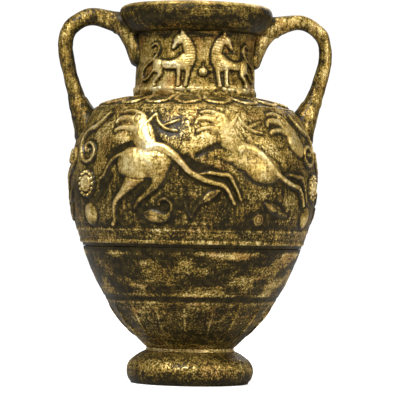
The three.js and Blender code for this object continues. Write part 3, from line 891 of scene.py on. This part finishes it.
def thrown_surface(place, seed):
    """Throwing lines and soft lumps, in millimetres."""
    x, height = around(angle_of(place), 100), place[:, 2]
    lines = 0.10 * grain(x / 60, height, 2.2, seed) + 0.12 * grain(x / 25, height, 5, seed + 1)
    lumps = 0.22 * grain(x, height, 13, seed + 2) + 0.10 * grain(x, height, 4.5, seed + 3)
    return lines + lumps


def work_over(piece, change, is_outer):
    """Moves the outer points along their normals by change(angle, height) and the thrown surface."""
    place, normal = points_of(piece)
    outer = is_outer(np.hypot(place[:, 0], place[:, 1]), place[:, 2])
    angle, height = angle_of(place), place[:, 2]
    shift = (change(angle, height) + thrown_surface(place, THROWN_SEED)) * outer
    put_points(piece, place + normal * shift[:, None])
    return angle, height, outer


print("ready to turn the sections")

# %% [markdown]
# The foot is a round bulge over a flat standing ring, hollowed underneath so that it stands without
# rocking, with a socket on top for the bowl's tenon.

# %% Foot and collar
HIDDEN_RUB = {"foot": 0.1, "bowl": 0.05, "neck": 0.12}  # the inside holds hardly any gold
recess = [(30.3, 30), (30.3, 21.7), (0, 21.7), (0, 12), (40, 12), (43.5, 8), (46, 0)]


def foot_details(angle, height):
    return -0.5 * bell(height, 0.8, 1.2) * (height > 0.2)


def on_foot(radius, height):
    """True on the outer face, away from the sharp edges that meet the floor and the collar."""
    return (radius > 41) & (height > 0.3) & (height < 29.5) & (radius > 46.5 - (height > 12) * 10)


foot = turned("foot_base_worked", foot_side, recess, 300)
angle, height, outer = work_over(foot, foot_details, on_foot)
# The top edge under the collar takes extra gold, part of a painted highlight round the waist.
rub = 0.29 + 0.24 * bell(height, 17, 6) - 0.22 * bell(height, 2, 4.5) + 0.25 * bell(height, 30, 2.5)
put_rub(foot, np.where(outer, rub, HIDDEN_RUB["foot"]))
finish_piece(foot, body_finish, "foot_base")

collar_side = smooth([(41.5, 30), (40.9, 31.2), (40.7, 32.2), (40.9, 33)], 6)
collar = turned("foot_collar_worked", collar_side, [(30.3, 33), (30.3, 30)], 240, 0.6)
# The collar takes much gold: gilt, and a painted highlight for the soft bright band round the waist.
put_rub(collar, 0.72)
finish_piece(collar, body_finish, "foot_collar")
print("foot", len(foot.data.vertices), "points")

# %% [markdown]
# The lower bowl opens from the collar to the joint under the frieze. Two grooves are turned into it, and
# eighteen rays fan up from the foot as thin raised ridges between shallow hollows.


# %% Lower bowl
RAY_STEP = 20  # degrees
WALL_DEPTH = 2.5  # points less deep than this belong to the outer face


def ray_at(angle):
    """1 on a ray and 0 between rays."""
    return np.exp(-((((angle + 180) % RAY_STEP - RAY_STEP / 2) * 1.15) ** 2))


def on_bowl(radius, height):
    return radius > wall_at(height)[0] - WALL_DEPTH


def lower_details(angle, height):
    belt = ramp(height, 41, 47) * (1 - ramp(height, 68, 76))
    rays = ray_at(angle) * belt - 0.3 * belt * (1 - ray_at(angle))
    wave = 39.2 + 1.6 * np.abs(np.sin(np.radians(9 * angle)))
    petals = 0.3 * (1 - ramp(height, wave - 0.8, wave + 0.8)) * ramp(height, 33.5, 35)
    groove = -0.6 * bell(height, 79.6, 1.3)
    return rays + petals + groove - 0.7 * bell(height, 126, 1.6)


inner_low = spaced(np.array([(95.9, BOWL_JOINT + 5.5), (95.7, BOWL_JOINT), (90.6, 114), (83.9, 99),
                             (75.6, 83.6), (67.6, 71), (60.6, 60.6), (50, 50), (38, 45), (20, 43.4),
                             (0, 43)]), 6)
lower = turned("lower_bowl_worked", lower_side,
               [(98.9, BOWL_JOINT), (98.9, BOWL_JOINT + 5.5), *inner_low, (0, 22), (30, 22), (30, 33)], 540)
angle, height, outer = work_over(lower, lower_details, on_bowl)
blocks = 0.15 * wall_grain(angle, height, 40, 12, 31)
blocks = blocks + 0.19 * np.tanh(4 * grain(around(angle, 80) / 1.7, height, 8, 34)) * (height > 79)
edges = 0.20 * bell(height, 83.2, 2) + 0.20 * bell(height, 75.6, 1.8) + 0.22 * bell(height, 121, 2.4)
rub = 0.29 + blocks + edges - 0.75 * bell(height, 79.6, 1.9) - 0.8 * bell(height, 125.4, 2.4)
rub = rub + 0.34 * ray_at(angle) * bell(height, 58, 15)
rub = rub - 0.03 * bell(height, 50, 10) + 0.18 * bell(height, 35, 3)
put_rub(lower, np.where(outer, rub, HIDDEN_RUB["bowl"]))
finish_piece(lower, lower_finish, "lower_bowl")
print("lower bowl", len(lower.data.vertices), "points")

# %% [markdown]
# The upper bowl carries the frieze. Its wall is cut a little lower close round each figure, as a
# modelling tool leaves it, and swells between figures.


# %% Upper bowl
def upper_details(angle, height):
    gap = crease_at(angle, height)
    hollow = -0.55 * bell(gap, 1.0, 2.2) * (gap > -2) * (1 - 0.6 * worn_at(angle, height))
    joint = -0.8 * bell(height, 127.4, 1.4) + 0.5 * bell(height, 141.2, 1.0) - 0.4 * bell(height, 139, 1.2)
    swell = bell(folded(angle), -44, 9) * bell(height, 221, 12)
    grooves = 1.1 * bell(groove_at(angle, height), 0, 1.4) + 0.4 * bell(height, 250.6, 1.2)
    return hollow + joint + swell - grooves


inner_high = spaced(np.array([(47.5, 257.1), (54.4, 257.3), (66, 255.6), (77, 252.6), (84, 249), (90.6, 243),
                              (97.8, 233.5), (103.6, 221), (107, 206), (108.2, 188), (107.2, 170),
                              (104.6, 154), (101, 142), (98, 133)]), 7)
upper = turned("upper_bowl_worked", upper_side,
               [(50.8, NECK_JOINT), (50.8, 258.1), (47.5, 258.1), *inner_high, (97.9, 131.8), (99.2, 131.8),
                (99.2, BOWL_JOINT)], 560, 1.5)
angle, height, outer = work_over(upper, upper_details, on_bowl)
gap = crease_at(angle, height)
worn = worn_at(angle, height)
# Painted light and shade: the wall takes more gold higher up the frieze, as light from above falls. Worn
# places take more gold too.
zone = 0.31 + 0.16 * ramp(height, 172, 226) + 0.27 * worn
ragged = 1 + 0.45 * wall_grain(angle, height, 110, 6, 42)
rub = zone - (0.58 - 0.42 * worn) * ragged * bell(np.maximum(gap, 0), 0, 2.4)
rub = rub + 0.13 * wall_grain(angle, height, 40, 22, 41)
rub = rub + 0.08 * np.tanh(3 * wall_grain(angle, height, 110, 11, 43))
rub = rub - 0.7 * bell(groove_at(angle, height), 0, 1.5)
parting = inside_tongue(angle, np.interp(height, run_heights, run_lengths))
rub = rub - 0.65 * bell(np.clip(parting, -9, 0), 0, 2.6) * (height > 250)
rub = rub - 0.7 * bell(height, 127.6, 1.8) + 0.3 * bell(height, 141.4, 1.0)
rub = rub + 0.12 * bell(height, 136, 4) - 0.15 * bell(height, 145, 3)
put_rub(upper, np.where(outer, rub, HIDDEN_RUB["bowl"]))
finish_piece(upper, body_finish, "upper_bowl")
print("upper bowl", len(upper.data.vertices), "points")

# %% [markdown]
# The neck is nearly straight, and its step sits down in the bowl's seat. The mouth flares from it and
# ends in a rolled bead. Their inner faces are glazed and hold little gold.


# %% Neck and mouth
neck_bore = [(51.5, MOUTH_JOINT), (51.5, 328.8), (48.5, 328.8), (48, 310), (47.5, 290), (47.5, 258.4),
             (50.5, 258.4), (50.5, NECK_JOINT)]
neck = turned("neck_worked", neck_side, neck_bore, 400, 1.1)


def ground_lumps(angle, height):
    return wall_grain(angle, height, NECK_RADIUS, 3.4, 51)


def neck_details(angle, height):
    gap = crease_at(angle, height)
    ground = 0.8 * bell(height, 268.6, 3) * (1 + 1.1 * ground_lumps(angle, height))
    band = 0.4 * wall_grain(angle, height, NECK_RADIUS, 5, 52) * ramp(height, 314, 319)
    return ground + band - 0.35 * bell(gap, 0.8, 1.6) * (gap > -1.5)


angle, height, outer = work_over(neck, neck_details, lambda r, z: (r > 52.6) & (z > NECK_JOINT - 0.2))
gap = crease_at(angle, height)
rub = 0.55 - 0.42 * bell(np.maximum(gap, 0), 0, 1.5) + 0.3 * bell(height, 272.5, 2.6)
rub = rub + 0.35 * bell(height, 268, 3) * ground_lumps(angle, height)
rub = rub - 0.2 * ramp(height, 315, 321) + 0.08 * wall_grain(angle, height, NECK_RADIUS, 9, 53)
put_rub(neck, np.where(outer, rub, HIDDEN_RUB["neck"]))
finish_piece(neck, neck_finish, "neck")

flare = spaced(smooth([(62.2, 349.4), (60.4, 346.4), (57.4, 340), (52.6, 332), (50.4, 329.1)], 4), 4)
mouth = turned("mouth_rim_worked", np.vstack([mouth_side, mouth_bead[1:]]),
               [*flare[1:], (51.8, 329.1), (51.8, MOUTH_JOINT)], 420, 1.0)
angle, height, outer = work_over(mouth, lambda a, z: 0.25 * wall_grain(a, z, 70, 7, 61),
                                 lambda r, z: (r > 60) & (z < 349.4))
# Painted shade: the underside of the flare, round 331 mm, takes less gold. The bead on top takes the most
# gold.
rub = 0.29 - 0.10 * bell(height, 331, 6) + 0.40 * ramp(height, 345, 348.4)
rub = rub + 0.16 * wall_grain(angle, height, 40, 8, 62)
put_rub(mouth, np.where(outer | (height > 349), rub, HIDDEN_RUB["neck"]))
finish_piece(mouth, neck_finish, "mouth_rim")
print("neck and mouth", len(neck.data.vertices) + len(mouth.data.vertices), "points")

# %% [markdown]
# ## Rings
# Thin cords of clay hide the joints. They are laid on by hand, so they are lumpy, and being the proudest
# edges they take the most gold.


# %% Rings at the joints
def laid_ring(name, height, half, proud, lumps, rub, node):
    """A cord round the wall. half is half its height, and proud is how far it stands out."""
    radius = float(wall_at(height)[0])
    arc = [(radius - 1.2 + (proud + 1.2) * math.cos(t), height + half * math.sin(t))
           for t in np.linspace(-math.pi / 2, math.pi / 2, 9)]
    back = [(radius - 2.4, height + half * 0.6), (radius - 2.4, height - half * 0.6)]
    ring = turned(name, arc, back, 480, 0.5)
    place, normal = points_of(ring)
    angle = angle_of(place)
    broad, fine = wall_grain(angle, height, radius, 4.5, 71), wall_grain(angle, height, radius, 1.9, 72)
    swell = lumps * (0.6 * broad + 0.4 * fine)
    put_points(ring, place + normal * swell[:, None])
    put_rub(ring, rub + 0.12 * swell / max(lumps, 0.01))
    finish_piece(ring, body_finish, node)


laid_ring("belly_ring_worked", 131.4, 2.4, 0.5, 0.15, 0.5, "belly_ring")
laid_ring("shoulder_ring_worked", 253.2, 1.3, 0.8, 0.2, 0.55, "shoulder_ring")
laid_ring("neck_ring_worked", 270.4, 2.6, 1.0, 1.1, 0.9, "neck_ring")
print("three rings")

# %% [markdown]
# ## Handles
# Each handle is one strap of clay. It spreads where it is pressed on the shoulder, rises nearly straight,
# bends over level with the mouth, and spreads again under the rim and down the neck. The two are not
# quite alike, as pulled handles never are: the left one stands a little higher.


# %% Sweep a handle
RING_SIDES = 24
RING_GAP = 4.5
ROOT_DEPTH = 3  # how far a handle's ends go into the wall


def swept(name, stations):
    """Extrudes a ring station by station, then lays every ring across its place on the curve."""
    path = spaced(smooth(stations, 8), RING_GAP)
    piece = added(name, bpy.ops.mesh.primitive_circle_add, vertices=RING_SIDES, radius=1)
    bpy.ops.object.mode_set(mode="EDIT")
    bpy.ops.mesh.select_all(action="SELECT")
    for _ in path[1:]:
        bpy.ops.mesh.extrude_region_move(TRANSFORM_OT_translate={"value": (0, 0, 1)})
    bpy.ops.object.mode_set(mode="OBJECT")
    ring, _ = points_of(piece)
    ring = ring * MM  # so far a straight column, with one metre from ring to ring
    for end in (0, len(path) - 1):
        select_points(piece, np.abs(ring[:, 2] - end) < 0.5)
        bpy.ops.mesh.edge_face_add()
        bpy.ops.object.mode_set(mode="OBJECT")
    station = np.clip(np.rint(ring[:, 2]).astype(int), 0, len(path) - 1)
    turn = np.arctan2(ring[:, 1], ring[:, 0])
    ahead = np.gradient(path[:, :2], axis=0)
    ahead = ahead / np.linalg.norm(ahead, axis=1)[:, None]
    x, z, across, thick = path[station].T
    bulge = np.cos(turn) * thick
    along_x, along_z = ahead[station].T
    put_points(piece, np.column_stack([x + along_z * bulge, np.sin(turn) * across, z - along_x * bulge]))
    smoother = piece.modifiers.new("smoother", "SUBSURF")
    smoother.levels = 2
    bpy.ops.object.modifier_apply(modifier="smoother")
    settle()
    return piece


def out_of_wall(place):
    """How far each point is outside the wall, and the wall's outward directions there."""
    radius, out, up = wall_at(np.clip(place[:, 2], 33, 349))
    around_axis = np.hypot(place[:, 0], place[:, 1])
    side = place[:, :2] / around_axis[:, None]
    outward = np.column_stack([side * out[:, None], up])
    return (around_axis - radius) * out, outward


def press_on(piece, seed):
    """Spreads the handle where it meets the wall, dents it and stops it in the wall. Returns its gold, with
    painted light and shade by which way each face turns.
    """
    place, normal = points_of(piece)
    away, _ = out_of_wall(place)
    spread = 3.2 * np.exp(-np.maximum(away, 0) / 5) * (away > -ROOT_DEPTH)
    x, y, z = place.T
    dents = 0.5 * grain(z, x + y, 11, seed) + 0.25 * grain(z, y * 2, 4, seed + 1)
    place = place + normal * (spread + dents)[:, None]
    away, outward = out_of_wall(place)
    place = place + outward * np.maximum(-ROOT_DEPTH - away, 0)[:, None]
    put_points(piece, place)
    x, y, z = place.T
    # Painted light and shade: faces turned to the front and back take more gold, a painted highlight, and
    # faces turned into the loop or down take less, painted shade.
    facing_loop = np.maximum(-normal[:, 0] * np.sign(x), 0) + np.maximum(-normal[:, 2], 0) * 0.6
    painted_light_by_facing = 0.16 * np.abs(normal[:, 1]) - 0.22 * facing_loop
    lumps = 0.12 * grain(z / 3, y, 4, seed + 2) + 0.12 * grain(x, z, 14, seed + 3)
    return 0.38 + lumps + painted_light_by_facing - 0.3 * bell(np.maximum(away, 0), 0, 3)


left_handle = swept("handle_left_worked", [
    (-98, 222, 20, 8), (-101, 236, 17, 9.5), (-105, 250, 13, 10), (-110, 264, 9.5, 8), (-115, 280, 8, 7),
    (-119.5, 298, 7.4, 6.8), (-121, 313, 7.4, 6.9), (-117, 326.4, 7.4, 7.4), (-105.5, 335.8, 7.4, 8),
    (-93, 338, 7.6, 8.1), (-81, 335, 8, 8.6), (-70, 330.4, 8.5, 8.4), (-61, 321, 9.5, 9),
    (-56, 308, 11, 7.5), (-52.5, 296, 12, 6)])
right_handle = swept("handle_right_worked", [
    (98, 222, 20, 8), (102, 236, 17, 9.5), (106, 250, 13, 10), (111.5, 264, 9.5, 8), (117, 280, 8, 7),
    (121.4, 298, 7.2, 6.4), (122.2, 312, 7, 6.2), (118, 325.4, 7, 6.6), (107, 334.8, 7, 7),
    (95, 337.4, 7.2, 7.1), (82, 335, 7.6, 7.8), (70.5, 329.6, 8.5, 8.4), (61, 319.6, 9.5, 9),
    (56, 307, 11, 7.5), (52.5, 295, 12, 6)])
for handle, node, seed, gilt in (
    (left_handle, "handle_left", 81, -0.04),
    (right_handle, "handle_right", 91, 0.1),
):
    put_rub(handle, press_on(handle, seed) + gilt)
    finish_piece(handle, handle_finish, node)
print("handles of", len(left_handle.data.vertices), "points each")

# %% [markdown]
# ## Reliefs
# A figure starts as a flat grid the size of its slab. The grid is raised to the modelled clay, everything
# beyond the clay's edge is deleted, the sheet is extruded into a solid, and the solid is bent round the
# wall. Gold goes to the crests and the glaze shows in the carved lines and round the edges.


# %% Lay a figure on the wall
GRID_CELL = 0.62
SHEET_THICKNESS = 1.5
EDGE_DEPTH = 1.7  # a figure's edge runs this far below the wall's face


def on_wall(x, y, lift, radius, turn):
    """Bends slab coordinates round the pot."""
    angle = x / radius + math.radians(turn)
    wall_radius, out, up = wall_at(y)
    distance = wall_radius + out * lift
    return np.column_stack([distance * np.sin(angle), -distance * np.cos(angle), y + up * lift])


def grid_shares(piece):
    """How far along the new grid each point lies, from 0 to 1, each way."""
    place, _ = points_of(piece)
    return place[:, :2].T * MM + 0.5


def close_sheet(piece, keep, thickness):
    """Deletes the points that are not kept and extrudes the rest into a closed solid."""
    select_points(piece, ~keep)
    bpy.ops.mesh.delete(type="VERT")
    bpy.ops.mesh.select_all(action="SELECT")
    bpy.ops.mesh.delete_loose(use_verts=True, use_edges=True, use_faces=False)
    bpy.ops.mesh.select_all(action="SELECT")
    bpy.ops.mesh.extrude_region_move(TRANSFORM_OT_translate={"value": (0, 0, -thickness * MM)})
    bpy.ops.object.mode_set(mode="OBJECT")


def relief(name, strokes, radius, turn, node, gilt=0.0):
    """Makes a figure and lays it on the wall. Returns how many points it has."""
    low, high = extent(strokes, radius, 2.6)
    count = np.maximum(np.ceil((high - low) / GRID_CELL).astype(int), 4)
    grid = {"x_subdivisions": int(count[0]), "y_subdivisions": int(count[1]), "size": 1}
    piece = added(name, bpy.ops.mesh.primitive_grid_add, **grid)
    x, y = low[:, None] + grid_shares(piece) * (high - low)[:, None]
    lift, gap, carved = modelled(strokes, radius, x, y)
    worn = 0.16 * grain(x, y, 1.9, 101) + 0.20 * grain(x, y, 4.5, 102)
    lift = lift + worn * (gap < 0)
    edge = bell(np.minimum(gap, 0), 0, 0.8)
    # Painted light and shade: the figures take less gold low on the frieze and more high up, as light from
    # above falls; the grain adds random patches.
    painted_shade_and_patches = 0.16 * (1 - ramp(y, 165, 205)) - 0.10 * ramp(y, 200, 215) + 0.10 * grain(x, y, 9, 103)
    sharp = 1 - 0.8 * worn_at(np.degrees(x / radius), y) * (radius == FRIEZE_RADIUS)
    rub = 0.46 + gilt - painted_shade_and_patches + 0.13 * np.clip(lift, 0, 3) - 0.35 * np.clip(carved, 0, 1.2)
    rub = rub - sharp * (0.35 * edge + 0.3 * (gap > 0.4))
    put_points(piece, np.column_stack([x, y, lift]))
    put_rub(piece, rub)
    close_sheet(piece, lift > -EDGE_DEPTH, SHEET_THICKNESS)
    flat, _ = points_of(piece)
    put_points(piece, on_wall(flat[:, 0], flat[:, 1], flat[:, 2], radius, turn))
    settle()
    finish_piece(piece, relief_finish, node)
    return len(piece.data.vertices)


PANEL_GILT = 0.18
points = 0
for face, turn in (("front", 0), ("back", 180)):
    for radius, group in ((FRIEZE_RADIUS, front_figures), (NECK_RADIUS, neck_figures)):
        for name, strokes in group.items():
            node = face + "_" + name
            gilt = PANEL_GILT if "tablet" in name or "rosette" in name else 0.0
            points += relief(node + "_worked", strokes, radius, turn, node, gilt)
for name, turn in (("palmette_left", -90), ("palmette_right", 90)):
    points += relief(name + "_worked", palmette(), FRIEZE_RADIUS, turn, name)
print("reliefs laid,", points, "points")

# %% [markdown]
# A skirt of tongues lies on the shoulder round the neck. Each tongue has a raised, rounded lip and a dark
# triangle of glaze beyond it where two ends part.

# %% The skirt of tongues
grid = {"x_subdivisions": TONGUES * 34, "y_subdivisions": 44, "size": 1}
skirt = added("tongue_skirt_worked", bpy.ops.mesh.primitive_grid_add, **grid)
across, down = grid_shares(skirt)
angle = 180.01 + across * 359.98  # its ends meet at the back, between two tongues
run = skirt_start + down * (skirt_end - skirt_start)
x = around(angle, SKIRT_MIDDLE)
inside = inside_tongue(angle, run) + 0.35 * grain(run, x, 2.6, 113)
lift = np.where(inside > 0, 1.9 * (1 - np.clip(1 - inside / 2.4, 0, 1) ** 2), 0.9 * inside)
lift = lift - 1.2 * ramp(inside, 2.8, 5) + 0.15 * grain(run, x, 3, 111) * (inside > 0)
put_points(skirt, np.column_stack([angle, run, lift]))
rub = 0.30 + 0.22 * grain(run, x, 6, 112) + 0.5 * bell(inside, 2, 1.8)
put_rub(skirt, rub - 0.55 * (1 - ramp(inside, -0.2, 0.9)) - 0.1 * ramp(inside, 3, 5))
close_sheet(skirt, lift > -1.2, 1.2)
flat, _ = points_of(skirt)
base_radius = np.interp(flat[:, 1], shoulder_run, shoulder_line[:, 0])
base_height = np.interp(flat[:, 1], shoulder_run, shoulder_line[:, 1])
_, out, up = wall_at(base_height)
distance = base_radius + out * flat[:, 2]
turn = np.radians(flat[:, 0])
x, y, z = distance * np.sin(turn), -distance * np.cos(turn), base_height + up * flat[:, 2]
put_points(skirt, np.column_stack([x, y, z]))
settle(merge=True)
finish_piece(skirt, body_finish, "tongue_skirt")
print("skirt", len(skirt.data.vertices), "points")

# %% [markdown]
# ## Size
# The finished pot is measured again, and its size is printed beside the CAD frame's.

# %% Measure and finish
end_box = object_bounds()
sizes = {"cad": [list(corner) for corner in cad_box], "finished": [list(corner) for corner in end_box]}
print("cad", [round(v / MM, 1) for corner in cad_box for v in corner])
print("finished", [round(v / MM, 1) for corner in end_box for v in corner])
